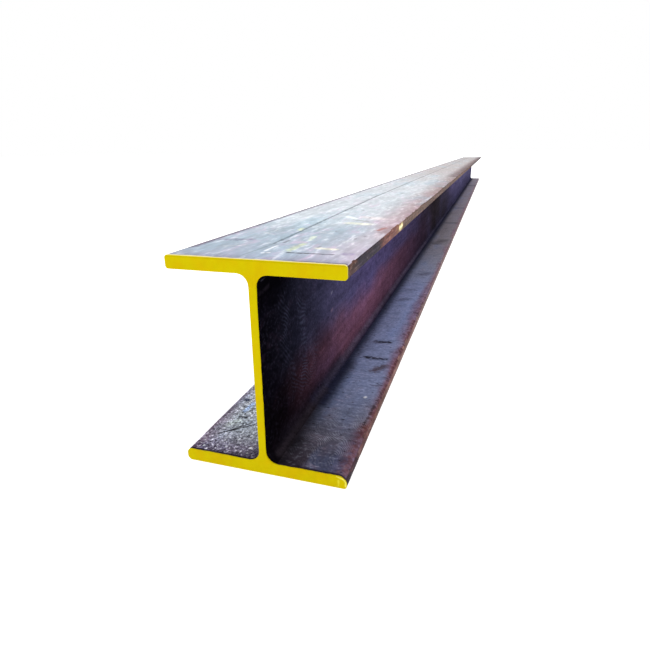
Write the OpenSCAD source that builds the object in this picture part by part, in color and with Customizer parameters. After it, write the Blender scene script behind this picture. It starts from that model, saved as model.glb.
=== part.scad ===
// Wide-flange (H) steel beam, hot rolled in one piece and sawn to length.
// +Z is up, +Y runs along the beam and +X across its flanges.
// The origin is the middle of the underside of the bottom flange.

/* [Beam] */
// Length of the beam, end to end
beam_length = 6000; // [1000:10:12000]
// Overall height of the section, outside the two flanges
beam_height = 257; // [160:1:400]
// Width of both flanges
flange_width = 204; // [120:1:320]

/* [Thicknesses] */
// Thickness of each flange
flange_t = 15.7; // [8:0.1:30]
// Thickness of the web
web_t = 8.9; // [5:0.1:20]

/* [Roundings] */
// Root fillet between the web and each flange
root_r = 13; // [6:0.5:24]
// Rounding of the flange toes as rolled
toe_r = 3.5; // [0.5:0.5:6]
// Rounding of both corners of the bottom flange's left toe, which is worn
soft_toe_r = 6; // [0.5:0.5:8]
// Rounding of the upper corner of the bottom flange's right toe, which is worn most
worn_toe_r = 9.5; // [0.5:0.5:12]

/* [Hidden] */
// Segments of a drawn circle
arc_fn = 96;
// How far a cut runs past the face that it opens
over = 2;
// Steel left between the two roundings of one toe
toe_flat = 0.2;
// Clear height between the flanges
clear_h = beam_height - 2 * flange_t;
// Clear depth from a flange toe to the web
clear_d = (flange_width - web_t) / 2;
// The roundings as built, each limited by the flange that it rounds
toe_pair_r = min(toe_r, flange_t / 2 - toe_flat);
soft_pair_r = min(soft_toe_r, flange_t / 2 - toe_flat);
worn_built_r = min(worn_toe_r, flange_t - toe_pair_r - toe_flat);

// What a rounding of radius r removes from the corner at the origin, whose steel lies towards +X and +Y
module corner_waste(r) {
    difference() {
        translate([-over, -over]) square(r + over);
        translate([r, r]) circle(r, $fn = arc_fn);
    }
}

// The waste of both corners of one toe: its lower edge is at height z, on the side given by -1 or 1
module toe_waste(side, z, low_r, high_r) {
    translate([side * flange_width / 2, z]) scale([-side, 1]) corner_waste(low_r);
    translate([side * flange_width / 2, z + flange_t]) scale([-side, -1]) corner_waste(high_r);
}

// The open channel on one side of the web, with its two root fillets
module side_channel(side) {
    translate([side * web_t / 2, flange_t]) scale([side, 1]) difference() {
        square([clear_d + over, clear_h]);
        corner_waste(root_r);
        translate([0, clear_h]) scale([1, -1]) corner_waste(root_r);
    }
}

// The rolled section, drawn upright and standing on the X axis
module rolled_section() {
    top_z = beam_height - flange_t;
    difference() {
        translate([-flange_width / 2, 0]) square([flange_width, beam_height]);
        for (side = [-1, 1]) {
            side_channel(side);
            toe_waste(side, top_z, toe_pair_r, toe_pair_r);
        }
        toe_waste(-1, 0, soft_pair_r, soft_pair_r);
        toe_waste(1, 0, toe_pair_r, worn_built_r);
    }
}

// The whole beam, its section run along Y
module h_beam() {
    color("slategray") rotate([90, 0, 0]) linear_extrude(beam_length, center = true) rolled_section();
}

h_beam();
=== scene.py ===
import math

import bpy
from mathutils import Matrix, Vector


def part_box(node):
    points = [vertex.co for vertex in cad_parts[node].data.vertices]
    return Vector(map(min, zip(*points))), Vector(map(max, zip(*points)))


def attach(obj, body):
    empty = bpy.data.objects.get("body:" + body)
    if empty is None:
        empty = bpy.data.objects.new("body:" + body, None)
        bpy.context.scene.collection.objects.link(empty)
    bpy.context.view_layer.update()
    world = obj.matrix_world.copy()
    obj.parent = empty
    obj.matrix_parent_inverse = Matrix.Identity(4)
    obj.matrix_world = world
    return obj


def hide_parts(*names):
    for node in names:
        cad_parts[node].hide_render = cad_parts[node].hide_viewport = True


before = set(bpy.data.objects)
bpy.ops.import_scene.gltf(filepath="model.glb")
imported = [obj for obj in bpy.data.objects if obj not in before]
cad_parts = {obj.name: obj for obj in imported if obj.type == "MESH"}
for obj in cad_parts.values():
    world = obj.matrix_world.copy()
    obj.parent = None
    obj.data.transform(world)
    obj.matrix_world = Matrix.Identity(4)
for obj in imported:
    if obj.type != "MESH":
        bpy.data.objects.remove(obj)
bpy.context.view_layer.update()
beamLow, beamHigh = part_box("h_beam")
nearEnd = beamLow.y
print("frame loaded, beam box", [round(v, 4) for v in (*beamLow, *beamHigh)])


# helpers for building node trees
def findSocket(sockets, key):
    if isinstance(key, int):
        return sockets[key]
    for socket in sockets:
        if socket.identifier == key or (socket.enabled and socket.name == key):
            return socket
    raise KeyError(key)


def feed(tree, socket, value):
    if isinstance(value, bpy.types.NodeSocket):
        tree.links.new(value, socket)
    else:
        socket.default_value = value


def addNode(tree, kind, inputs=None, **settings):
    node = tree.nodes.new(kind)
    for name, value in settings.items():
        setattr(node, name, value)
    for key, value in (inputs or {}).items():
        feed(tree, findSocket(node.inputs, key), value)
    return node


def maths(tree, operation, *values, clamp=False):
    node = addNode(tree, "ShaderNodeMath", dict(enumerate(values)), operation=operation, use_clamp=clamp)
    return node.outputs[0]


def plus(tree, first, second):
    return maths(tree, "ADD", first, second)


def minus(tree, first, second):
    return maths(tree, "SUBTRACT", first, second)


def times(tree, first, second, clamp=False):
    return maths(tree, "MULTIPLY", first, second, clamp=clamp)


def vectorMaths(tree, operation, *values, output=0):
    node = addNode(tree, "ShaderNodeVectorMath", dict(enumerate(values)), operation=operation)
    return node.outputs[output]


def scaled(tree, vector, factors):
    return vectorMaths(tree, "MULTIPLY", vector, factors)


def remap(tree, value, fromMin, fromMax, toMin=0.0, toMax=1.0, smooth=True):
    node = addNode(tree, "ShaderNodeMapRange", {
        "Value": value, "From Min": fromMin, "From Max": fromMax, "To Min": toMin, "To Max": toMax,
    }, interpolation_type="SMOOTHSTEP" if smooth else "LINEAR")
    return node.outputs[0]


def noise(tree, place, scale, detail=3.0, roughness=0.55, distortion=0.0):
    # a scale of three numbers stretches the pattern along the three axes
    if isinstance(scale, tuple):
        place = scaled(tree, place, scale)
        scale = 1.0
    node = addNode(tree, "ShaderNodeTexNoise", {
        "Vector": place, "Scale": scale, "Detail": detail, "Roughness": roughness,
        "Distortion": distortion,
    })
    return node.outputs[0]


def mixColours(tree, factor, first, second):
    node = addNode(tree, "ShaderNodeMix", {
        "Factor_Float": factor, "A_Color": first, "B_Color": second,
    }, data_type="RGBA")
    return findSocket(node.outputs, "Result_Color")


def linear(red, green, blue):
    def one(value):
        value = value / 255.0
        return value / 12.92 if value <= 0.04045 else ((value + 0.055) / 1.055) ** 2.4
    return (one(red), one(green), one(blue), 1.0)


def ramp(tree, value, stops):
    node = addNode(tree, "ShaderNodeValToRGB", {0: value})
    elements = node.color_ramp.elements
    while len(elements) > 1:
        elements.remove(elements[-1])
    elements[0].position = stops[0][0]
    elements[0].color = stops[0][1]
    for position, colour in stops[1:]:
        elements.new(position).color = colour
    return node.outputs[0]


def bump(tree, height, strength, distance):
    node = addNode(tree, "ShaderNodeBump", {"Height": height, "Strength": strength, "Distance": distance})
    return node.outputs[0]


usualSpan = (0.3, 0.7)      # most of a noise pattern's values lie between these


beam = {
    "length": beamHigh.y - beamLow.y,
    "height": beamHigh.z - beamLow.z,
    "width": beamHigh.x - beamLow.x,
    "flangeThickness": 0.0157,
    "webThickness": 0.0089,
    "rootRadius": 0.013,
    "toeRadius": 0.0035,
    "softToeRadius": 0.006,     # bottom flange, left toe
    "wornToeRadius": 0.0095,    # bottom flange, right toe, upper corner
    "rings": 540,
    "ringCrowding": 0.45,       # below 1 the rings crowd towards the painted end
    "pointSpacing": 0.013,
    "cornerPoints": 5,
    "nickDepth": 0.0011,
    "nickSeed": 4.0,
    "nickScale": (30.0, 26.0, 60.0),
    "nickSpan": (0.60, 0.78),   # the noise values where a nick begins and where it is deepest
    "wearScale": (12.0, 5.0, 40.0),
    "wearSpan": (0.40, 0.75),
    "wearShare": 0.35,          # of the nicks' depth
    "wornReach": 0.009,         # how far in from a toe the nicks and wear go
    "wornStart": (0.002, 0.02),     # how far from an end they begin and are full
    "endRounding": 0.0007,
    "endEdgeAngle": 60.0,
}


def newTree(name, inputs):
    tree = bpy.data.node_groups.new(name, "GeometryNodeTree")
    for label, kind in inputs:
        tree.interface.new_socket(label, in_out="INPUT", socket_type=kind)
    tree.interface.new_socket("Geometry", in_out="OUTPUT", socket_type="NodeSocketGeometry")
    return tree


def switchList(tree, values):
    # picks one value for each corner of the outline
    node = addNode(tree, "GeometryNodeIndexSwitch", data_type="FLOAT")
    while len(node.index_switch_items) < len(values):
        node.index_switch_items.new()
    feed(tree, node.inputs["Index"], tree.nodes.new("GeometryNodeInputIndex").outputs[0])
    for position, value in enumerate(values):
        feed(tree, node.inputs[position + 1], value)
    return node.outputs[0]


def rolledSectionTree():
    # the section's twelve corners are placed, filleted and run along the beam as closely spaced rings
    real = "NodeSocketFloat"
    tree = newTree("Rolled section", [
        ("Geometry", "NodeSocketGeometry"), ("Length", real), ("Height", real), ("Width", real),
        ("Flange Thickness", real), ("Web Thickness", real), ("Root Radius", real), ("Toe Radius", real),
        ("Soft Toe Radius", real), ("Worn Toe Radius", real), ("Rings", "NodeSocketInt"),
        ("Ring Crowding", real), ("Point Spacing", real), ("Corner Points", "NodeSocketInt"),
        ("Nick Depth", real), ("Nick Seed", real), ("Material", "NodeSocketMaterial"),
    ])
    given = tree.nodes.new("NodeGroupInput").outputs
    halfWidth = times(tree, given["Width"], 0.5)
    halfWeb = times(tree, given["Web Thickness"], 0.5)
    leftWidth = times(tree, halfWidth, -1.0)
    leftWeb = times(tree, halfWeb, -1.0)
    low = given["Flange Thickness"]
    high = minus(tree, given["Height"], low)
    top = given["Height"]
    across = switchList(tree, [
        leftWidth, halfWidth, halfWidth, halfWeb, halfWeb, halfWidth,
        halfWidth, leftWidth, leftWidth, leftWeb, leftWeb, leftWidth,
    ])
    up = switchList(tree, [0.0, 0.0, low, low, high, high, top, top, high, high, low, low])
    root, toe = given["Root Radius"], given["Toe Radius"]
    soft, worn = given["Soft Toe Radius"], given["Worn Toe Radius"]
    rounding = switchList(tree, [soft, toe, worn, root, root, toe, toe, toe, toe, root, root, soft])

    corners = addNode(tree, "GeometryNodeCurvePrimitiveCircle", {"Resolution": 12})
    placed = addNode(tree, "GeometryNodeSetPosition", {
        "Geometry": corners.outputs[0],
        "Position": addNode(tree, "ShaderNodeCombineXYZ", {0: across, 1: up}).outputs[0],
    })
    rounded = addNode(tree, "GeometryNodeFilletCurve", mode="POLY")
    feed(tree, findSocket(rounded.inputs, "Curve"), placed.outputs[0])
    feed(tree, findSocket(rounded.inputs, "Radius"), rounding)
    feed(tree, findSocket(rounded.inputs, "Limit Radius"), True)
    feed(tree, findSocket(rounded.inputs, "Count"), given["Corner Points"])

    # extra points along each flat
    here = tree.nodes.new("GeometryNodeInputPosition").outputs[0]
    following = addNode(tree, "GeometryNodeOffsetPointInCurve", {"Offset": 1}).outputs["Point Index"]
    there = addNode(tree, "GeometryNodeFieldAtIndex", data_type="FLOAT_VECTOR", domain="POINT")
    feed(tree, findSocket(there.inputs, "Value"), here)
    feed(tree, findSocket(there.inputs, "Index"), following)
    gap = vectorMaths(tree, "DISTANCE", here, there.outputs[0], output=1)
    cuts = maths(tree, "FLOOR", maths(tree, "DIVIDE", gap, given["Point Spacing"]))
    outline = addNode(tree, "GeometryNodeSubdivideCurve", {"Curve": rounded.outputs[0], "Cuts": cuts})
    share = tree.nodes.new("GeometryNodeSplineParameter").outputs["Factor"]
    marked = addNode(tree, "GeometryNodeStoreNamedAttribute", {
        "Geometry": outline.outputs[0], "Name": "around", "Value": share,
    }, data_type="FLOAT", domain="POINT")

    # the line that the section follows, its points crowded towards the painted end
    line = addNode(tree, "GeometryNodeCurvePrimitiveLine", {"Start": (0, 0, 0), "End": (0, 0, 1)})
    ringLine = addNode(tree, "GeometryNodeResampleCurve", {
        "Curve": line.outputs[0], "Count": given["Rings"],
    }, mode="COUNT")
    ringShare = tree.nodes.new("GeometryNodeSplineParameter").outputs["Factor"]
    fromNear = minus(tree, 1.0, ringShare)
    evenPart = times(tree, fromNear, given["Ring Crowding"])
    squared = times(tree, fromNear, fromNear)
    crowdedPart = times(tree, squared, minus(tree, 1.0, given["Ring Crowding"]))
    distance = times(tree, plus(tree, evenPart, crowdedPart), given["Length"])
    level = minus(tree, times(tree, given["Length"], 0.5), distance)
    ringPlace = addNode(tree, "ShaderNodeCombineXYZ", {2: level}).outputs[0]
    track = addNode(tree, "GeometryNodeSetPosition", {
        "Geometry": ringLine.outputs[0], "Position": ringPlace,
    })
    swept = addNode(tree, "GeometryNodeCurveToMesh", {
        "Curve": track.outputs[0], "Profile Curve": marked.outputs[0], "Fill Caps": True,
    })
    laid = addNode(tree, "GeometryNodeTransform", {
        "Geometry": swept.outputs[0], "Rotation": (math.radians(90), 0, 0),
    })

    # shallow nicks and wear along the flange toes, always inwards
    spot = tree.nodes.new("GeometryNodeInputPosition").outputs[0]
    outward = tree.nodes.new("GeometryNodeInputNormal").outputs[0]
    parts = addNode(tree, "ShaderNodeSeparateXYZ", {0: spot}).outputs
    edgeStart = minus(tree, halfWidth, beam["wornReach"])
    nearToe = remap(tree, maths(tree, "ABSOLUTE", parts[0]), edgeStart, halfWidth)
    halfLength = times(tree, given["Length"], 0.5)
    endGap = minus(tree, halfLength, maths(tree, "ABSOLUTE", parts[1]))
    clearOfEnds = remap(tree, endGap, *beam["wornStart"])
    seedShift = addNode(tree, "ShaderNodeCombineXYZ", {1: given["Nick Seed"]}).outputs[0]
    seeded = vectorMaths(tree, "ADD", spot, seedShift)
    nicks = remap(tree, noise(tree, seeded, beam["nickScale"], detail=2.0), *beam["nickSpan"])
    wear = remap(tree, noise(tree, seeded, beam["wearScale"]), *beam["wearSpan"])
    wear = times(tree, wear, beam["wearShare"])
    depth = times(tree, maths(tree, "MAXIMUM", nicks, wear), given["Nick Depth"])
    depth = times(tree, times(tree, depth, nearToe), clearOfEnds)
    push = vectorMaths(tree, "SCALE", outward)
    feed(tree, push.node.inputs["Scale"], times(tree, depth, -1.0))
    nicked = addNode(tree, "GeometryNodeSetPosition", {"Geometry": laid.outputs[0], "Offset": push})
    smooth = addNode(tree, "GeometryNodeSetShadeSmooth", {
        "Geometry": nicked.outputs[0], "Shade Smooth": True,
    })
    plain = addNode(tree, "GeometryNodeRealizeInstances", {"Geometry": smooth.outputs[0]})
    finished = addNode(tree, "GeometryNodeSetMaterial", {
        "Geometry": plain.outputs[0], "Material": given["Material"],
    })
    addNode(tree, "NodeGroupOutput", {"Geometry": finished.outputs[0]})
    return tree


def spacedName(key):
    return "".join(" " + letter if letter.isupper() else letter for letter in key).title()


def fillInputs(modifier, values):
    # an input takes the value whose key is its name run together
    named = {spacedName(key): value for key, value in values.items()}
    for item in modifier.node_group.interface.items_tree:
        if item.item_type == "SOCKET" and item.in_out == "INPUT" and item.name in named:
            modifier[item.identifier] = named[item.name]


def buildBeamMesh(material):
    holder = bpy.data.objects.new("sectionHolder", bpy.data.meshes.new("sectionHolder"))
    scene.collection.objects.link(holder)
    sweep = holder.modifiers.new("Rolled section", "NODES")
    sweep.node_group = rolledSectionTree()
    fillInputs(sweep, dict(beam, material=material))
    edge = holder.modifiers.new("End edges", "BEVEL")
    edge.width = beam["endRounding"]
    edge.segments = 2
    edge.limit_method = "ANGLE"
    edge.angle_limit = math.radians(beam["endEdgeAngle"])
    edge.use_clamp_overlap = False
    flatFirst = holder.modifiers.new("Flat faces first", "WEIGHTED_NORMAL")
    flatFirst.keep_sharp = True
    graph = bpy.context.evaluated_depsgraph_get()
    mesh = bpy.data.meshes.new_from_object(holder.evaluated_get(graph), depsgraph=graph)
    bpy.data.objects.remove(holder)
    return mesh


scene = bpy.context.scene
scene.view_settings.view_transform = "Standard"


# in the finishes, a place on the beam is (across, distance from the painted end, height), in metres
topZ = beam["height"]
webX = beam["webThickness"] / 2
inZ = beam["flangeThickness"]
toeX = beam["width"] / 2
far = beam["length"]

marking = {
    "coverPerGap": 1.4,         # turns a mark's share of gaps into a noise value
    "gapSoftness": 0.35,
    "shortestRun": 1e-7,        # squared, so that a mark may be a single dab
    "wobbleScale": 140.0,
    "dulledRoughness": 0.9,
}


def surfaceMarkTree():
    # a mark drawn from Start to End, with a ragged rim and a broken body
    tree = bpy.data.node_groups.new("Surface mark", "ShaderNodeTree")
    for label, kind in [
        ("Place", "Vector"), ("Wobble", "Float"), ("Grit", "Float"), ("Start", "Vector"),
        ("End", "Vector"), ("Width", "Float"), ("Softness", "Float"), ("Raggedness", "Float"),
        ("Gaps", "Float"), ("Strength", "Float"),
    ]:
        tree.interface.new_socket(label, in_out="INPUT", socket_type="NodeSocket" + kind)
    tree.interface.new_socket("Mask", in_out="OUTPUT", socket_type="NodeSocketFloat")
    given = tree.nodes.new("NodeGroupInput").outputs
    fromStart = vectorMaths(tree, "SUBTRACT", given["Place"], given["Start"])
    run = vectorMaths(tree, "SUBTRACT", given["End"], given["Start"])
    passed = vectorMaths(tree, "DOT_PRODUCT", fromStart, run, output=1)
    whole = vectorMaths(tree, "DOT_PRODUCT", run, run, output=1)
    whole = maths(tree, "MAXIMUM", whole, marking["shortestRun"])
    along = maths(tree, "DIVIDE", passed, whole, clamp=True)
    reached = vectorMaths(tree, "SCALE", run)
    feed(tree, reached.node.inputs["Scale"], along)
    gap = vectorMaths(tree, "DISTANCE", fromStart, reached, output=1)
    gap = plus(tree, gap, times(tree, given["Wobble"], given["Raggedness"]))
    rim = times(tree, given["Width"], 0.5)
    core = times(tree, rim, minus(tree, 1.0, given["Softness"]))
    body = remap(tree, gap, core, rim, 1.0, 0.0)
    cover = times(tree, given["Gaps"], marking["coverPerGap"])
    broken = remap(tree, given["Grit"], minus(tree, cover, marking["gapSoftness"]), cover)
    solid = times(tree, times(tree, body, broken), given["Strength"], clamp=True)
    addNode(tree, "NodeGroupOutput", {"Mask": solid})
    return tree


paint = {
    "colour": linear(185, 169, 2),
    "thinColour": linear(187, 162, 2),
    "thinScale": (44.0, 44.0, 36.0),
    "thinSpan": (0.40, 0.66),
    "paleHighlightTone": (244, 240, 190),        # painted highlight along the edge, on a thin run of paint
    "specular": 0.01,
    "endRoughness": (0.36, 0.50),
    "brushScale": (120.0, 120.0, 80.0),
    "brushShade": 0.04,
    "peelScale": 700.0,
    "relief": 0.0002,
    "reliefStrength": 0.6,
    # where the paint has run round an edge, on to the steel
    "runRoughness": 0.42,
    "runScale": (38.0, 20.0, 38.0),
    "runShare": (0.7, 1.3),             # shortest and longest, as shares of a finish's paintReach
    "frayScale": (120.0, 90.0, 120.0),
    "fraySpan": (0.2, 0.8),
    "fray": 0.15,
    "edgeSoftness": 0.0004,
    "rimFray": 0.002,
    "rimSpan": (0.002, 0.006),          # how far past the paint its dark rim is full and has gone
    # colour, strength, start, end, width, softness, raggedness, gaps, dulling
    "marks": [
        ((164, 146, 1), 0.55, (-0.1, 0, topZ - 0.0016), (0.1, 0, topZ - 0.0016), 0.0018, 0.8, 0.001,
         0.1, 0),
        # painted highlights round the worn right toe of the lower flange and on a strip just inside it
        ((226, 220, 96), 0.65, (0.09, 0, 0.0152), (0.0982, 0, 0.0129), 0.0026, 1, 0.002, 0.1, 0),
        ((226, 220, 96), 0.75, (0.0982, 0, 0.0129), (0.1008, 0, 0.0092), 0.0026, 1, 0.002, 0.1, 0),
        ((226, 220, 96), 0.75, (0.1008, 0, 0.0092), (0.1008, 0, 0.004), 0.0026, 1, 0.002, 0.1, 0),
        ((216, 208, 60), 0.55, (0.0925, 0, 0.003), (0.0925, 0, 0.01), 0.004, 1, 0.003, 0.2, 0),
    ],
}


def paintRunTree():
    # where the end paint has run round the edge, and the dark rim where it stops
    tree = bpy.data.node_groups.new("Paint run", "ShaderNodeTree")
    tree.interface.new_socket("Place", in_out="INPUT", socket_type="NodeSocketVector")
    tree.interface.new_socket("Reach", in_out="INPUT", socket_type="NodeSocketFloat")
    tree.interface.new_socket("Mask", in_out="OUTPUT", socket_type="NodeSocketFloat")
    tree.interface.new_socket("Rim", in_out="OUTPUT", socket_type="NodeSocketFloat")
    given = tree.nodes.new("NodeGroupInput").outputs
    distance = addNode(tree, "ShaderNodeSeparateXYZ", {0: given["Place"]}).outputs[1]
    drift = noise(tree, given["Place"], paint["runScale"], detail=2.0)
    frayed = noise(tree, given["Place"], paint["frayScale"], detail=2.0)
    reach = remap(tree, drift, *usualSpan, *paint["runShare"])
    fray = remap(tree, frayed, *paint["fraySpan"], -paint["fray"], paint["fray"])
    reach = plus(tree, reach, fray)
    past = minus(tree, distance, times(tree, reach, given["Reach"]))
    mask = remap(tree, past, -paint["edgeSoftness"], paint["edgeSoftness"], 1.0, 0.0)
    pastRim = plus(tree, past, times(tree, frayed, paint["rimFray"]))
    rim = remap(tree, pastRim, *paint["rimSpan"], 1.0, 0.0)
    addNode(tree, "NodeGroupOutput", {"Mask": mask, "Rim": rim})
    return tree


markTree = surfaceMarkTree()
runTree = paintRunTree()


def newMaterial(name):
    material = bpy.data.materials.new(name)
    material.use_nodes = True
    material.node_tree.nodes.clear()
    return material


def coat(tree, inputs):
    surface = addNode(tree, "ShaderNodeBsdfPrincipled", dict(inputs, IOR=1.5))
    addNode(tree, "ShaderNodeOutputMaterial", {"Surface": surface.outputs[0]})


def beamPlace(tree):
    node = addNode(tree, "ShaderNodeMapping", {
        "Vector": addNode(tree, "ShaderNodeTexCoord").outputs["Object"], "Location": (0.0, -nearEnd, 0.0),
    })
    return node.outputs[0]


# what all the rolled faces share
millScale = {
    "drift": 0.06,                  # how far the second row of tones wanders, in metres
    "coolSpan": (0.45, 0.75),       # the noise values where each tint begins and is full
    "warmSpan": (0.50, 0.72),
    "glintSpan": (0.52, 0.74),
    "shadeSpan": (0.28, 0.72),
    "rippleSpan": (0.42, 0.64),
    "rippleWave": (-0.6, 1.0),
    "rippleStart": (0.004, 0.04),   # metres from the painted end
    "speckSpan": (0.35, 0.70),
    "speckGrain": 0.5,
    "speckSoftness": 0.02,
    "pitCover": 0.8,
    "fleckCover": 0.7,
    "grainSpan": (0.25, 0.75),
    "grainRelief": 0.5,
    "blotchRelief": 1.2,
    "streakRelief": 0.8,
    "pitRelief": 0.8,
    "paintRelief": 2.0,
}


def paintColour(tree, place):
    thin = remap(tree, noise(tree, place, paint["thinScale"]), *paint["thinSpan"])
    return mixColours(tree, thin, paint["colour"], paint["thinColour"])


def varied(tree, colour, pattern, amount):
    # brightens and darkens a colour by a pattern between 0 and 1
    factor = remap(tree, pattern, *millScale["shadeSpan"], 1.0 - amount, 1.0 + amount, smooth=False)
    factors = addNode(tree, "ShaderNodeCombineXYZ", {0: factor, 1: factor, 2: factor}).outputs[0]
    return vectorMaths(tree, "MULTIPLY", colour, factors)


def surfaceMark(tree, **given):
    mark = addNode(tree, "ShaderNodeGroup", node_tree=markTree)
    for label, value in given.items():
        feed(tree, mark.inputs[label], value)
    return mark.outputs[0]


def marked(tree, place, grit, marks, colour):
    # lays chalk, stains, rust, scuffs and painted highlights and shade over a colour, in turn, and says
    # what they leave clean
    wobble = minus(tree, noise(tree, place, marking["wobbleScale"], detail=2.0), 0.5)
    clean = 1.0
    for tone, strength, start, end, width, softness, raggedness, gaps, dulls in marks:
        mask = surfaceMark(tree, Place=place, Wobble=wobble, Grit=grit, Start=start, End=end, Width=width,
                           Softness=softness, Raggedness=raggedness, Gaps=gaps, Strength=strength)
        colour = mixColours(tree, mask, colour, linear(*tone))
        if dulls:
            kept = minus(tree, 1.0, times(tree, mask, dulls))
            clean = times(tree, clean, kept)
    return colour, clean


def lengthRamp(tree, along, tones):
    return ramp(tree, along, [(distance / far, linear(*tone)) for distance, tone in tones])


def ripples(tree, place, along, look):
    # fine curved lines in the mill scale, in patches round one place
    turns = vectorMaths(tree, "DOT_PRODUCT", place, look["rippleLines"], output=1)
    bends = noise(tree, place, look["rippleBend"], detail=1.0)
    bends = times(tree, bends, look["rippleTurns"])
    wave = maths(tree, "SINE", times(tree, plus(tree, turns, bends), 2.0 * math.pi))
    patches = remap(tree, noise(tree, place, look["ripplePatches"], detail=2.0), *millScale["rippleSpan"])
    start, end, width = look["ripplePlace"]
    spread = surfaceMark(tree, Place=place, Start=start, End=end, Width=width, Softness=1.0, Strength=1.0)
    fadeStart, fadeEnd = millScale["rippleStart"]
    fade = remap(tree, along, fadeStart / far, fadeEnd / far, 0.0, look["ripple"])
    fade = times(tree, fade, spread)
    crests = times(tree, remap(tree, wave, *millScale["rippleWave"]), patches)
    return times(tree, crests, fade)


def specks(tree, place, grain, look):
    # small dark pits and bright flecks
    cells = addNode(tree, "ShaderNodeTexVoronoi", {
        "Vector": scaled(tree, place, look["pitScale"]), "Scale": 1.0,
    }, feature="F1")
    pick = addNode(tree, "ShaderNodeSeparateColor", {0: cells.outputs["Color"]}).outputs
    rough = times(tree, grain, millScale["speckGrain"])
    rough = plus(tree, cells.outputs["Distance"], rough)
    speck = remap(tree, rough, *millScale["speckSpan"], 1.0, 0.0)
    masks = []
    for channel, share in enumerate([look["pits"], look["flecks"]]):
        chosen = remap(tree, pick[channel], 1.0 - share, 1.0 + millScale["speckSoftness"] - share)
        masks.append(times(tree, speck, chosen))
    return masks


def rolledFinish(name, look):
    material = newMaterial(name)
    tree = material.node_tree
    place = beamPlace(tree)
    parts = addNode(tree, "ShaderNodeSeparateXYZ", {0: place}).outputs
    along = maths(tree, "DIVIDE", parts[1], far)

    drift = noise(tree, place, look["driftScale"], roughness=0.6)
    streaks = noise(tree, place, look["streakScale"], roughness=0.6)
    brushed = noise(tree, place, look["brushScale"], detail=2.0, roughness=0.6)
    blotches = noise(tree, place, look["blotchScale"], detail=4.0, roughness=0.65, distortion=0.6)
    grain = noise(tree, place, look["grainScale"], roughness=0.7)

    # scale colour along the beam, running over into a second row of tones across it; on the top and the
    # left lower flange the tones are partly painted sheen and light
    colour = lengthRamp(tree, along, look["tones"])
    axis, first, second = look["secondSpan"]
    wander = times(tree, minus(tree, drift, 0.5), millScale["drift"])
    across = remap(tree, plus(tree, parts[axis], wander), first, second)
    colour = mixColours(tree, across, colour, lengthRamp(tree, along, look["secondTones"]))
    for tint, pattern in [("cool", drift), ("warm", blotches), ("glint", brushed)]:
        amount = times(tree, remap(tree, pattern, *millScale[tint + "Span"]), look[tint])
        colour = mixColours(tree, amount, colour, linear(*look[tint + "Tone"]))
    if look["ripple"]:
        colour = mixColours(tree, ripples(tree, place, along, look), colour, linear(*look["rippleTone"]))

    colour, clean = marked(tree, place, blotches, look["marks"], colour)

    for pattern, shade in [(drift, "drift"), (streaks, "streak"), (brushed, "brush"),
                           (blotches, "blotch"), (grain, "grain")]:
        colour = varied(tree, colour, pattern, look[shade])

    pits, flecks = specks(tree, place, grain, look)
    pitCover = times(tree, pits, millScale["pitCover"])
    colour = mixColours(tree, pitCover, colour, linear(*look["pitTone"]))
    fleckCover = times(tree, flecks, millScale["fleckCover"])
    colour = mixColours(tree, fleckCover, colour, linear(*look["fleckTone"]))

    roughness = remap(tree, grain, *millScale["grainSpan"], *look["roughness"])
    roughness = remap(tree, clean, 0.0, 1.0, marking["dulledRoughness"], roughness, smooth=False)
    height = plus(tree, times(tree, grain, millScale["grainRelief"]),
                   times(tree, blotches, millScale["blotchRelief"]))
    height = plus(tree, height, times(tree, streaks, millScale["streakRelief"]))
    height = minus(tree, height, times(tree, pits, millScale["pitRelief"]))

    # the end paint's run goes over everything, paler where a look gives it a painted highlight along the
    # edge
    run = addNode(tree, "ShaderNodeGroup", node_tree=runTree)
    feed(tree, run.inputs["Place"], place)
    feed(tree, run.inputs["Reach"], look["paintReach"])
    rim = times(tree, run.outputs["Rim"], look["rim"])
    painted = run.outputs["Mask"]
    colour = mixColours(tree, rim, colour, linear(*look["pitTone"]))
    runPaintAndHighlight = mixColours(tree, look["paintPaleHighlight"], paintColour(tree, place), linear(*paint["paleHighlightTone"]))
    colour = mixColours(tree, painted, colour, runPaintAndHighlight)
    roughness = remap(tree, painted, 0.0, 1.0, roughness, paint["runRoughness"], smooth=False)
    height = plus(tree, height, times(tree, painted, millScale["paintRelief"]))

    # bare steel shines, and paint, rims, pits and dull marks don't
    shine = 0.0
    if look["metal"][1]:
        covered = maths(tree, "MAXIMUM", maths(tree, "MAXIMUM", painted, rim), pits)
        bare = times(tree, clean, minus(tree, 1.0, covered))
        shine = times(tree, remap(tree, drift, *usualSpan, *look["metal"]), bare)

    coat(tree, {
        "Base Color": colour, "Metallic": shine, "Roughness": roughness,
        "Specular IOR Level": look["specular"], "Normal": bump(tree, height, 1.0, look["relief"]),
    })
    return material


def atHeight(height, marks):
    # finishes the places of marks on a level face
    return [(tone, strength, (*start, height), (*end, height), *rest)
            for tone, strength, start, end, *rest in marks]


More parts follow.
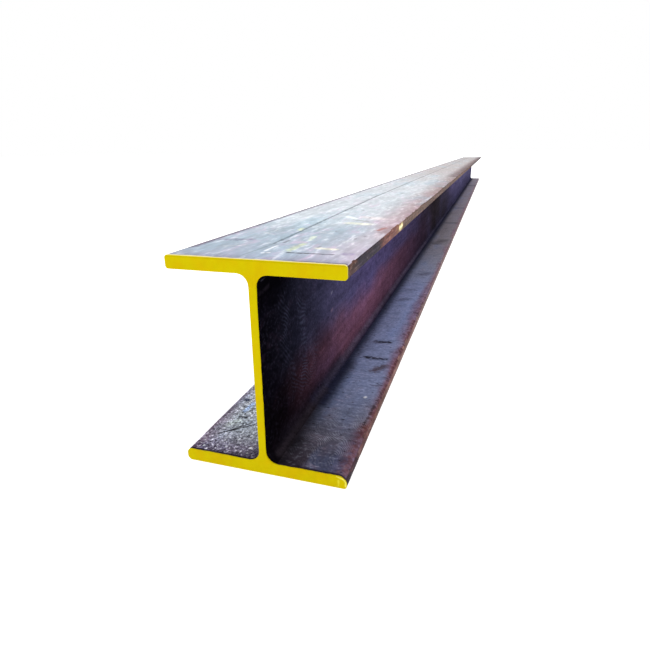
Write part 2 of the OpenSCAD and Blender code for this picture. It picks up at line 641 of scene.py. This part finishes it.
topLook = {
    # the top face's pale tones are partly a painted sheen over the mill scale's own colour
    "tones": [(0, (110, 108, 134)), (0.015, (134, 143, 168)), (0.05, (143, 156, 174)),
              (0.2, (150, 164, 178)), (0.3, (186, 195, 204)), (1, (190, 196, 203)), (2, (164, 156, 156)),
              (6, (140, 130, 128))],
    "secondTones": [(0, (112, 104, 130)), (0.02, (168, 158, 178)), (0.15, (182, 170, 182)),
                    (0.3, (166, 130, 141)), (0.6, (140, 99, 104)), (1, (118, 72, 70)), (2, (98, 56, 51)),
                    (6, (94, 62, 57))],
    "secondSpan": (0, 0.03, 0.105),
    "driftScale": (13, 4, 13), "streakScale": (110, 6, 60), "brushScale": (130, 32, 130),
    "blotchScale": (60, 18, 60), "grainScale": 240,
    "coolTone": (122, 158, 176), "cool": 0.6, "warmTone": (172, 138, 164), "warm": 0.5,
    "glintTone": (236, 240, 240), "glint": 0.28,
    "ripple": 0.3, "rippleLines": (70, 60, 0), "rippleBend": 24, "rippleTurns": 4,
    "rippleTone": (112, 124, 150), "ripplePatches": 21,
    "ripplePlace": ((-0.05, 0.06, topZ), (0.05, 0.22, topZ), 0.3),
    "drift": 0.14, "streak": 0.1, "brush": 0.16, "blotch": 0.24, "grain": 0.12,
    "metal": (0, 0.2), "roughness": (0.34, 0.48), "specular": 0.5, "relief": 0.0002,
    "pitScale": (150, 60, 150), "pits": 0.03, "flecks": 0.01, "rim": 0.2,
    "pitTone": (96, 92, 108), "fleckTone": (252, 252, 252), "paintReach": 0.003, "paintPaleHighlight": 0.4,
    "marks": atHeight(topZ, [
        # rusty and worn edges
        ((120, 64, 54), 0.45, (0.098, 0.2), (0.098, 0.25), 0.03, 1, 0.03, 0.25, 0.6),
        ((70, 40, 44), 0.65, (0.106, 1.6), (0.106, far), 0.11, 0.9, 0.02, 0.15, 0.6),
        ((84, 62, 82), 0.9, (-0.0995, 0.05), (-0.0995, far), 0.026, 0.9, 0.01, 0.2, 1),
        ((100, 84, 112), 0.55, (-0.092, 0.1), (-0.052, 0.108), 0.022, 1, 0.03, 0.25, 0.8),
        ((130, 110, 160), 0.5, (0.086, 0.05), (0.092, 0.052), 0.018, 1, 0.02, 0.1, 0.4),
        # dark scratches, and the line scored along the flange
        ((44, 34, 44), 0.9, (0.024, 0.043), (0.046, 0.043), 0.007, 0.9, 0.006, 0, 0.9),
        ((52, 44, 56), 0.8, (0.048, 0.043), (0.074, 0.044), 0.007, 1, 0.005, 0.16, 0.9),
        ((90, 104, 102), 0.4, (-0.018, 0.01), (-0.012, 0.09), 0.006, 1, 0.006, 0.34, 0.6),
        ((66, 70, 78), 0.7, (-0.012, 0.09), (-0.024, 0.7), 0.0078, 1, 0.006, 0.18, 0.9),
        ((60, 70, 72), 0.8, (-0.024, 0.7), (-0.026, far), 0.006, 0.9, 0.004, 0.12, 0.6),
        ((60, 62, 66), 0.7, (-0.003, 0.098), (-0.002, 0.112), 0.0075, 1, 0.004, 0.1, 0.8),
        ((70, 40, 48), 0.6, (0.045, 0.0045), (0.101, 0.0045), 0.007, 1, 0.006, 0.28, 0.8),
        # chalk dabs, pale specks and one rusty dab
        ((216, 226, 172), 0.62, (0.02, 0.052), (0.022, 0.096), 0.013, 1, 0.014, 0.32, 0.4),
        ((220, 228, 198), 0.55, (0.022, 0.122), (0.018, 0.148), 0.013, 1, 0.014, 0.34, 0.4),
        ((228, 226, 192), 0.6, (0.0483, 0.074), (0.068, 0.071), 0.017, 1, 0.006, 0.3, 0.5),
        ((218, 224, 172), 0.6, (-0.018, 0.19), (-0.022, 0.21), 0.01, 1, 0.012, 0.32, 0.8),
        ((238, 238, 212), 0.72, (0.032, 0.274), (0.056, 0.268), 0.034, 1, 0.012, 0.34, 0.4),
        ((238, 222, 222), 0.55, (0.04, 0.345), (0.066, 0.33), 0.042, 1, 0.018, 0.36, 0.4),
        ((112, 120, 104), 0.6, (0.026, 0.312), (0.052, 0.298), 0.011, 1, 0.006, 0.25, 0.8),
        ((232, 244, 244), 0.65, (0.006, 0.352), (0.028, 0.322), 0.016, 1, 0.01, 0.3, 0.4),
        ((250, 250, 252), 0.85, (-0.0024, 0.034), (-0.0012, 0.035), 0.0062, 1, 0.002, 0.1, 0.4),
        ((250, 250, 252), 0.85, (0.003, 0.037), (0.004, 0.0378), 0.0062, 1, 0.002, 0.1, 0.4),
        ((238, 240, 240), 0.65, (-0.0044, 0.047), (-0.0036, 0.078), 0.006, 1, 0.004, 0.3, 0.4),
        ((150, 66, 36), 0.6, (0.086, 0.214), (0.09, 0.238), 0.015, 1, 0.008, 0.2, 0.8),
    ] + [
        # pale and dark scuffs, in pairs
        (tone, 0.5, (across, place), (across + lean, place + 0.012), 0.006, 1, 0.008, 0.3, 0.6)
        for across, place, lean in [(-0.062, 0.06, 0.02), (-0.04, 0.15, -0.016), (0.01, 0.075, 0.022),
                                    (0.036, 0.17, -0.02), (0.06, 0.21, 0.018), (-0.01, 0.24, 0.024),
                                    (0.024, 0.43, -0.026), (-0.05, 0.33, 0.022), (0.066, 0.12, 0.016)]
        for tone in [(72, 74, 96), (232, 236, 238)]
    ]),
}

toeLook = {
    "tones": [(0, (66, 40, 30)), (0.028, (62, 38, 32)), (0.042, (35, 25, 33)), (0.15, (39, 28, 37)),
              (0.175, (98, 58, 53)), (0.265, (107, 65, 57)), (0.285, (130, 87, 58)), (0.34, (90, 69, 60)),
              (1.1, (85, 64, 57)), (1.9, (91, 66, 54)), (2.6, (87, 61, 50)), (3.4, (58, 47, 52)),
              (6, (56, 46, 50))],
    "secondTones": [(0, (48, 30, 34)), (0.05, (74, 44, 42)), (0.3, (122, 90, 86)), (0.8, (120, 98, 98)),
                    (6, (106, 92, 98))],
    "secondSpan": (2, 0.08, 0.04),
    "driftScale": (20, 5, 60), "streakScale": (40, 8, 320), "brushScale": (60, 40, 260),
    "blotchScale": (120, 60, 160), "grainScale": 480,
    "coolTone": (66, 56, 66), "cool": 0.35, "warmTone": (136, 84, 64), "warm": 0.3,
    "glintTone": (160, 138, 130), "glint": 0.16,
    "ripple": 0,
    "drift": 0.25, "streak": 0.4, "brush": 0.3, "blotch": 0.3, "grain": 0.3,
    "metal": (0, 0), "roughness": (0.55, 0.72), "specular": 0.05, "relief": 0.0003,
    "pitScale": (260, 260, 260), "pits": 0.1, "flecks": 0.02, "rim": 0.6,
    "pitTone": (34, 24, 28), "fleckTone": (190, 176, 170), "paintReach": 0.0022, "paintPaleHighlight": 0,
    "marks": [
        ((226, 214, 160), 0.9, (toeX, 0.296, topZ - 0.008), (toeX, 0.318, topZ - 0.007), 0.014, 0.9,
         0.008, 0.25, 0),
        ((36, 26, 38), 0.8, (toeX, 0, 0.006), (toeX, 0.045, 0.006), 0.02, 0.9, 0.01, 0, 0),
        ((34, 27, 41), 0.8, (toeX, 0.052, topZ - 0.009), (toeX, 0.145, topZ - 0.009), 0.03, 0.8,
         0.012, 0.16, 0),
    ],
}

# the light line along the root fillet is a painted highlight and the dark band beside it painted shade in
# the root, shared by the web and the lower flange
rootHighlightAndShade = [
    ((14, 11, 16), 0.92, (0.0145, 0, inZ), (0.0145, 0.05, inZ), 0.06, 1, 0.006, 0, 0.9),
    ((25, 21, 29), 0.92, (0.0145, 0.06, inZ), (0.0145, 0.3, inZ), 0.066, 1, 0.006, 0, 0.9),
    ((34, 36, 58), 0.94, (0.0185, 0.16, inZ), (0.0185, far, inZ), 0.05, 1, 0.006, 0, 0.9),
    ((50, 43, 50), 0.55, (0.014, 0.02, 0.0163), (0.014, 0.2, 0.0163), 0.02, 1, 0.004, 0, 0.5),
    ((98, 88, 108), 0.48, (0.0166, 0.04, 0.0253), (0.0096, 0.42, 0.0183), 0.017, 1, 0.003, 0, 0),
    ((98, 88, 108), 0.42, (0.0096, 0.43, 0.0183), (0.0096, 1.5, 0.0183), 0.016, 1, 0.003, 0, 0),
    ((80, 74, 92), 0.34, (0.0096, 1.52, 0.0183), (0.0096, far, 0.0183), 0.016, 1, 0.003, 0, 0),
]

webLook = {
    "tones": [(0, (5, 4, 8)), (0.05, (13, 12, 20)), (0.1, (22, 22, 34)), (0.15, (35, 34, 50)),
              (0.2, (46, 45, 66)), (0.3, (63, 60, 88)), (0.5, (71, 64, 99)), (0.9, (62, 54, 84)),
              (1.3, (45, 37, 53)), (1.8, (38, 33, 37)), (2.3, (50, 45, 56)), (2.8, (74, 68, 98)),
              (4, (84, 80, 112)), (6, (80, 75, 102))],
    "secondTones": [(0, (4, 3, 6)), (0.08, (17, 10, 15)), (0.15, (49, 29, 37)), (0.22, (68, 43, 55)),
                    (0.32, (95, 61, 77)), (0.5, (107, 69, 89)), (0.7, (95, 63, 83)), (0.95, (73, 49, 66)),
                    (1.3, (50, 37, 53)), (1.8, (36, 31, 36)), (2.3, (44, 40, 50)), (3, (66, 62, 90)),
                    (6, (74, 70, 100))],
    "secondSpan": (2, 0.124, 0.072),
    "driftScale": (9, 3, 9), "streakScale": (60, 4, 130), "brushScale": (300, 220, 300),
    "blotchScale": (60, 40, 60), "grainScale": 420,
    "coolTone": (54, 54, 92), "cool": 0.2, "warmTone": (60, 42, 58), "warm": 0.1,
    "glintTone": (78, 76, 96), "glint": 0.1,
    "ripple": 0.6, "rippleLines": (0, 120, 165), "rippleBend": 18, "rippleTurns": 8,
    "rippleTone": (60, 62, 82), "ripplePatches": 24,
    "ripplePlace": ((webX, 0.108, 0.16), (webX, 0.142, 0.1), 0.16),
    "drift": 0.22, "streak": 0.18, "brush": 0.25, "blotch": 0.28, "grain": 0.25,
    "metal": (0, 0), "roughness": (0.62, 0.78), "specular": 0, "relief": 0.0002,
    "pitScale": (170, 170, 170), "pits": 0.04, "flecks": 0, "rim": 0.9,
    "pitTone": (5, 4, 7), "fleckTone": (130, 126, 140), "paintReach": 0.0018, "paintPaleHighlight": 0,
    "marks": rootHighlightAndShade + [
        # painted shade on the web just under the top flange, near the painted end
        ((5, 4, 7), 0.94, (webX, 0, 0.228), (webX, 0.06, 0.228), 0.11, 1, 0.02, 0, 0),
        ((6, 5, 9), 0.9, (webX, 0.05, 0.238), (webX, 0.17, 0.243), 0.05, 1, 0.02, 0, 0),
        ((5, 4, 8), 0.6, (webX, 0, 0.12), (webX, 0.03, 0.09), 0.07, 1, 0.02, 0, 0),
        ((6, 4, 6), 0.7, (webX, 0, 0.07), (webX, 0.05, 0.058), 0.06, 1, 0.02, 0, 0),
        ((120, 116, 140), 0.45, (webX, 0.262, 0.15), (webX, 0.268, 0.151), 0.008, 1, 0.004, 0.2, 0),
        ((112, 92, 112), 0.42, (webX, 0.262, 0.1215), (webX, 0.27, 0.122), 0.009, 1, 0.006, 0.2, 0),
        ((70, 68, 82), 0.4, (webX, 0.012, 0.2325), (webX, 0.028, 0.234), 0.0036, 1, 0.004, 0.2, 0),
        ((46, 40, 50), 0.26, (webX, 0.008, 0.219), (webX, 0.032, 0.2215), 0.007, 1, 0.006, 0.2, 0),
        ((26, 19, 30), 0.34, (webX, 0.185, 0.112), (webX, 0.25, 0.08), 0.07, 1, 0.02, 0, 0),
    ],
}

seatLook = {
    "tones": [(0, (48, 40, 50)), (0.03, (62, 55, 66)), (0.08, (92, 89, 105)), (0.14, (116, 120, 145)),
              (0.22, (134, 143, 179)), (0.8, (138, 147, 187)), (1.1, (140, 142, 164)),
              (1.5, (138, 131, 141)), (6, (148, 139, 150))],
    "secondTones": [(0, (66, 38, 42)), (0.06, (84, 52, 56)), (0.14, (108, 58, 65)), (0.3, (122, 67, 76)),
                    (0.8, (124, 89, 101)), (6, (130, 105, 117))],
    "secondSpan": (0, 0.078, 0.102),
    "driftScale": (16, 5, 16), "streakScale": (14, 180, 60), "brushScale": (190, 240, 170),
    "blotchScale": (34, 60, 60), "grainScale": 340,
    "coolTone": (100, 124, 172), "cool": 0.4, "warmTone": (104, 88, 100), "warm": 0.35,
    "glintTone": (186, 190, 208), "glint": 0.14,
    "ripple": 0.4, "rippleLines": (250, 200, 0), "rippleBend": 36, "rippleTurns": 7,
    "rippleTone": (160, 160, 178), "ripplePatches": 44,
    "ripplePlace": ((0.05, 0.01, inZ), (0.08, 0.13, inZ), 0.12),
    "drift": 0.16, "streak": 0.16, "brush": 0.19, "blotch": 0.26, "grain": 0.17,
    "metal": (0, 0.15), "roughness": (0.5, 0.64), "specular": 0.03, "relief": 0.0003,
    "pitScale": (140, 240, 200), "pits": 0.1, "flecks": 0, "rim": 0.95,
    "pitTone": (32, 25, 31), "fleckTone": (170, 168, 180), "paintReach": 0.0014, "paintPaleHighlight": 0,
    "marks": rootHighlightAndShade + atHeight(inZ, [
        ((84, 46, 42), 0.75, (0.1, 0.01), (0.1, 0.11), 0.03, 1, 0.02, 0.2, 0.8),
        ((92, 58, 56), 0.75, (0.101, 0.11), (0.101, 0.7), 0.018, 1, 0.014, 0.22, 0.8),
        ((40, 30, 36), 0.55, (0.094, 0.115), (0.098, 0.215), 0.006, 1, 0.01, 0.3, 0.8),
        ((64, 40, 46), 0.9, (0.101, 0.2), (0.101, far), 0.013, 1, 0.006, 0.12, 0.8),
        ((30, 26, 34), 0.92, (0.045, 0.337), (0.08, 0.337), 0.016, 1, 0.02, 0.25, 0.8),
        ((36, 30, 38), 0.92, (0.048, 0.414), (0.07, 0.417), 0.022, 1, 0.02, 0.25, 0.8),
        ((70, 50, 50), 0.8, (0.07, 0.285), (0.083, 0.308), 0.026, 1, 0.018, 0.3, 0.8),
        ((52, 46, 58), 0.5, (0.044, 0.7), (0.052, 0.71), 0.04, 1, 0.03, 0.2, 0.8),
        ((60, 54, 66), 0.4, (0.048, 0.795), (0.06, 0.8), 0.034, 1, 0.03, 0.3, 0.8),
        ((50, 44, 56), 0.5, (0.062, 0.97), (0.074, 0.99), 0.05, 1, 0.03, 0.2, 0.8),
        ((54, 48, 56), 0.5, (0.046, 1.48), (0.07, 1.56), 0.07, 1, 0.03, 0.2, 0.8),
        ((62, 56, 64), 0.4, (0.04, 2.06), (0.09, 2.07), 0.08, 1, 0.03, 0.2, 0.8),
        ((62, 56, 66), 0.4, (0.04, 2.72), (0.095, 2.73), 0.09, 1, 0.03, 0.2, 0.8),
        ((84, 78, 90), 0.45, (0.03, 4.7), (0.095, 4.7), 0.3, 1, 0.03, 0.2, 0.8),
        ((236, 236, 242), 0.9, (0.0775, 0.19), (0.0785, 0.192), 0.007, 1, 0.004, 0, 0.6),
    ] + [
        # short dark ticks along the outer edge
        ((54, 44, 54), 0.45, (0.101 - reach, place), (0.099, place + 0.004), 0.01, 1, 0.02, 0.28, 0.8)
        for place, reach in [(0.165, 0.014), (0.232, 0.02), (0.262, 0.01), (0.372, 0.018), (0.47, 0.012),
                             (0.53, 0.022), (0.61, 0.012), (0.74, 0.018), (0.88, 0.024), (1.12, 0.02)]
    ]),
}

# the left lower flange: the lower flange's finish, paler all over as painted light from the left, with
# more pits, flecks and glints
litLeftSeatLook = dict(seatLook, **{
    "tones": [(0, (88, 76, 100)), (0.02, (124, 117, 138)), (0.06, (176, 184, 193)),
              (0.12, (196, 203, 210)), (0.2, (180, 184, 197)), (1, (150, 150, 166)),
              (6, (130, 126, 136))],
    "secondTones": [(0, (80, 62, 88)), (0.05, (130, 118, 138)), (0.2, (148, 142, 160)),
                    (6, (116, 112, 124))],
    "secondSpan": (0, -0.07, -0.1),
    "brushScale": (300, 260, 240), "grainScale": 460, "ripple": 0,
    "brush": 0.7, "blotch": 0.42, "grain": 0.9, "pits": 0.42, "flecks": 0.05, "metal": (0.3, 0.6),
    "glintTone": (240, 244, 250), "glint": 0.38,
    "pitScale": (200, 170, 200), "pitTone": (16, 11, 22), "fleckTone": (236, 240, 248),
    "marks": atHeight(inZ, [
        # painted shade in the root beside the web, near the painted end
        ((46, 36, 58), 0.7, (-0.014, 0), (-0.014, 0.12), 0.03, 1, 0.01, 0, 0.5),
        ((60, 46, 72), 0.4, (-0.03, 0.002), (-0.08, 0), 0.018, 1, 0.02, 0.2, 0.5),
        ((34, 28, 38), 0.9, (-0.08, 0.042), (-0.046, 0.074), 0.0042, 0.9, 0.003, 0.1, 0.7),
        ((34, 28, 38), 0.85, (-0.073, 0.049), (-0.052, 0.076), 0.004, 0.9, 0.003, 0.1, 0.7),
        ((30, 26, 34), 0.95, (-0.074, 0.087), (-0.064, 0.087), 0.008, 1, 0.006, 0.12, 0.7),
        # a painted bluish highlight
        ((176, 202, 248), 0.85, (-0.074, 0.104), (-0.072, 0.128), 0.013, 1, 0.008, 0.2, 0),
        ((36, 46, 84), 0.9, (-0.088, 0.133), (-0.084, 0.135), 0.01, 1, 0.006, 0.1, 0.4),
        ((222, 234, 230), 0.5, (-0.078, 0.066), (-0.07, 0.078), 0.014, 1, 0.01, 0.2, 0),
        ((250, 250, 252), 0.9, (-0.027, 0.0235), (-0.026, 0.0245), 0.005, 1, 0.002, 0, 0),
        ((76, 50, 70), 0.6, (-0.098, 0.05), (-0.096, 0.15), 0.014, 1, 0.01, 0.2, 0.4),
        ((250, 250, 250), 0.7, (-0.066, 0.003), (-0.06, 0.003), 0.003, 1, 0.002, 0.1, 0),
    ]),
})

# the underside has the web's mill scale, rustier
undersideLook = dict(webLook, **{
    "tones": [(0, (60, 52, 60)), (0.5, (74, 66, 78)), (3, (82, 70, 76)), (6, (74, 66, 74))],
    "secondTones": [(0, (70, 50, 48)), (2, (88, 66, 62)), (6, (80, 60, 58))],
    "secondSpan": (0, -0.02, 0.06),
    "warmTone": (120, 78, 58), "warm": 0.45, "specular": 0.2, "ripple": 0,
    "roughness": (0.5, 0.7),
    "marks": [],
})


def endPaint():
    material = newMaterial("end paint")
    tree = material.node_tree
    place = beamPlace(tree)
    brush = noise(tree, place, paint["brushScale"])
    peel = noise(tree, place, paint["peelScale"], detail=2.0)
    colour, _ = marked(tree, place, peel, paint["marks"], paintColour(tree, place))
    colour = varied(tree, colour, brush, paint["brushShade"])
    height = plus(tree, brush, times(tree, peel, 0.5))
    coat(tree, {
        "Base Color": colour, "Metallic": 0.0, "Specular IOR Level": paint["specular"],
        "Roughness": remap(tree, brush, *usualSpan, *paint["endRoughness"]),
        "Normal": bump(tree, height, paint["reliefStrength"], paint["relief"]),
    })
    return material


sawn = {
    "steelTone": (146, 142, 144),
    "rustTone": (112, 70, 50),
    "lineScale": (900.0, 0.0, 26.0),    # saw lines run up the end
    "lineShade": 0.22,
    "rustScale": 34.0,
    "rustSpan": (0.40, 0.62),
    "metal": (0.85, 0.05),              # bare, then rusty
    "roughness": (0.38, 0.75),
    "specular": 0.4,
    "relief": 0.0003,
    "reliefStrength": 0.8,
}


def sawnEnd():
    # bare sawn steel with saw lines, gone rusty in patches
    material = newMaterial("sawn end")
    tree = material.node_tree
    place = beamPlace(tree)
    lines = noise(tree, place, sawn["lineScale"], roughness=0.6, distortion=0.4)
    patches = noise(tree, place, sawn["rustScale"], detail=4.0, roughness=0.65, distortion=0.8)
    rusty = remap(tree, patches, *sawn["rustSpan"])
    colour = mixColours(tree, rusty, linear(*sawn["steelTone"]), linear(*sawn["rustTone"]))
    colour = varied(tree, colour, lines, sawn["lineShade"])
    coat(tree, {
        "Base Color": colour, "Specular IOR Level": sawn["specular"],
        "Metallic": remap(tree, rusty, 0.0, 1.0, *sawn["metal"]),
        "Roughness": remap(tree, rusty, 0.0, 1.0, *sawn["roughness"]),
        "Normal": bump(tree, lines, sawn["reliefStrength"], sawn["relief"]),
    })
    return material


finishes = {
    "top": rolledFinish("top flange scale", topLook),
    "toe": rolledFinish("toe scale", toeLook),
    "web": rolledFinish("web scale", webLook),
    "seat": rolledFinish("lower flange scale", seatLook),
    "leftSeat": rolledFinish("lower flange scale left, lit", litLeftSeatLook),
    "underside": rolledFinish("underside scale", undersideLook),
    "painted": endPaint(),
    "sawn": sawnEnd(),
}
zoneNames = list(finishes)
print("finishes ready:", len(finishes))


zones = {
    # how squarely a face points along an axis, from 0 to 1
    "endFacing": 0.4,
    "toeFacing": 0.72,
    "flatFacing": 0.6,
    "rootFacing": 0.3,
    # how far a face lies from its zone's own plane, in metres
    "endDepth": 0.002,
    "toeDepth": 0.008,
    "toeRim": 0.004,
    "flatDepth": 0.004,
    "seatRise": 0.0002,
    "rootReach": 0.05,
}


def zoneOf(centre, facing):
    toeGap = toeX - abs(centre.x)
    rootTop = inZ + beam["rootRadius"]
    rootEdge = webX + beam["rootRadius"]
    level = facing.z > zones["flatFacing"]
    if facing.y < -zones["endFacing"] and centre.y < nearEnd + zones["endDepth"]:
        return "painted"
    if facing.y > zones["endFacing"] and centre.y > -nearEnd - zones["endDepth"]:
        return "sawn"
    if abs(facing.x) > zones["toeFacing"] and toeGap < zones["toeDepth"]:
        return "toe"
    if level and centre.z > topZ - zones["flatDepth"]:
        return "top"
    if level and centre.z < inZ + zones["seatRise"] and abs(centre.x) > rootEdge:
        return "seat" if centre.x > 0 else "leftSeat"
    if facing.z > zones["rootFacing"] and -zones["rootReach"] < centre.x < 0 and centre.z < rootTop:
        return "leftSeat"
    if facing.z < -zones["flatFacing"] and centre.z < zones["flatDepth"]:
        return "underside"
    if toeGap < zones["toeRim"]:
        return "toe"
    return "web"


beamMesh = buildBeamMesh(finishes["top"])
steelBeam = bpy.data.objects.new("steel_beam", beamMesh)
scene.collection.objects.link(steelBeam)
beamMesh.name = "steel_beam"
beamMesh.materials.clear()
for finish in finishes.values():
    beamMesh.materials.append(finish)
for face in beamMesh.polygons:
    face.material_index = zoneNames.index(zoneOf(face.center, face.normal))
triangles = sum(len(face.vertices) - 2 for face in beamMesh.polygons)
print("beam built:", len(beamMesh.vertices), "points,", triangles, "triangles")


unfolding = {
    "nearLength": 0.8,      # this much of the beam at the painted end gets finer detail
    "nearShare": 0.39,
    "outlineShare": 0.785,  # the outline's share of the map's height, below the two ends
    "endStart": 0.795,
    "endScale": {"painted": 0.98, "sawn": 0.45},
    "endPlace": {"painted": 0.002, "sawn": 0.3},
}


def shareAlong(distance):
    near, share = unfolding["nearLength"], unfolding["nearShare"]
    if distance < near:
        return distance / near * share
    return share + (distance - near) / (far - near) * (1.0 - share)


def unfoldBeam(mesh):
    # unrolls the outline, and lays the two ends beside each other above it
    around = [item.value for item in mesh.attributes["around"].data]
    corners = mesh.uv_layers.new(name="OFBake").data
    for face in mesh.polygons:
        zone = zoneNames[face.material_index]
        shares = [around[point] for point in face.vertices]
        closing = max(shares) - min(shares) > 0.5       # this face closes the outline
        for corner, point, share in zip(face.loop_indices, face.vertices, shares):
            place = mesh.vertices[point].co
            if zone in unfolding["endPlace"]:
                scale = unfolding["endScale"][zone]
                along = unfolding["endPlace"][zone] + place.z * scale
                up = unfolding["endStart"] + (place.x - beamLow.x) * scale
            else:
                if closing and share < 0.5:
                    share += 1.0
                along = shareAlong(place.y - nearEnd)
                up = share * unfolding["outlineShare"]
            corners[corner].uv = (along, up)


unfoldBeam(beamMesh)
print("finishes unfolded")

studio = {
    "skyStrength": 1.0,
    "overheadStrength": 1.4,
    "overheadSpread": 60.0,     # degrees, wide enough for soft light
    "overheadHeight": 4.0,
    "floorSize": 80.0,
    "floorDrop": 0.0002,        # below the beam
    "floorTone": linear(243, 243, 243),
    "floorRoughness": 0.9,
    "floorGlow": 0.5,
    "lightTone": (1.0, 1.0, 1.0, 1.0),
}

camera = {
    "fromEnd": 0.44423,         # in front of the painted end
    "across": 0.22297,
    "height": 0.36073,
    "turn": -17.98,             # degrees, towards the left end face from straight along the beam
    "tilt": -19.597,
    "roll": 0.687,
    "lens": 27.30,
    "sensor": 36.0,
    "clip": (0.02, 200.0),
}


def buildFloor():
    half = studio["floorSize"] / 2
    mesh = bpy.data.meshes.new("floor")
    corners = [(-half, -half, 0), (half, -half, 0), (half, half, 0), (-half, half, 0)]
    mesh.from_pydata(corners, [], [(0, 1, 2, 3)])
    floor = bpy.data.objects.new("floor", mesh)
    scene.collection.objects.link(floor)
    floor.location.z = beamLow.z - studio["floorDrop"]
    material = bpy.data.materials.new("pale floor")
    material.use_nodes = True
    surface = material.node_tree.nodes["Principled BSDF"]
    for label, value in [
        ("Base Color", studio["floorTone"]), ("Roughness", studio["floorRoughness"]),
        ("Specular IOR Level", 0.0), ("Emission Color", studio["lightTone"]),
        ("Emission Strength", studio["floorGlow"]),
    ]:
        surface.inputs[label].default_value = value
    mesh.materials.append(material)
    return floor


def buildLights():
    world = bpy.data.worlds.new("soft studio")
    world.use_nodes = True
    sky = world.node_tree.nodes["Background"]
    sky.inputs["Color"].default_value = studio["lightTone"]
    sky.inputs["Strength"].default_value = studio["skyStrength"]
    scene.world = world
    sun = bpy.data.lights.new("overhead", "SUN")
    sun.energy = studio["overheadStrength"]
    sun.angle = math.radians(studio["overheadSpread"])
    overhead = bpy.data.objects.new("overhead", sun)
    overhead.location.z = studio["overheadHeight"]
    scene.collection.objects.link(overhead)


def buildCamera():
    turn, tilt, roll = (math.radians(camera[key]) for key in ("turn", "tilt", "roll"))
    forward = Vector((math.sin(turn) * math.cos(tilt), math.cos(turn) * math.cos(tilt), math.sin(tilt)))
    right = Vector((math.cos(turn), -math.sin(turn), 0.0))
    down = forward.cross(right)
    rolledRight = right * math.cos(roll) + down * math.sin(roll)
    rolledDown = down * math.cos(roll) - right * math.sin(roll)
    data = bpy.data.cameras.new("camera")
    data.lens = camera["lens"]
    data.sensor_width = camera["sensor"]
    data.clip_start, data.clip_end = camera["clip"]
    seer = bpy.data.objects.new("camera", data)
    axes = Matrix((rolledRight, -rolledDown, -forward)).transposed().to_4x4()
    stand = (camera["across"], nearEnd - camera["fromEnd"], camera["height"])
    seer.matrix_world = Matrix.Translation(stand) @ axes
    scene.collection.objects.link(seer)
    scene.camera = seer


floor = buildFloor()
buildLights()
buildCamera()
print("floor, light and camera ready")

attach(steelBeam, "root")
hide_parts("h_beam")
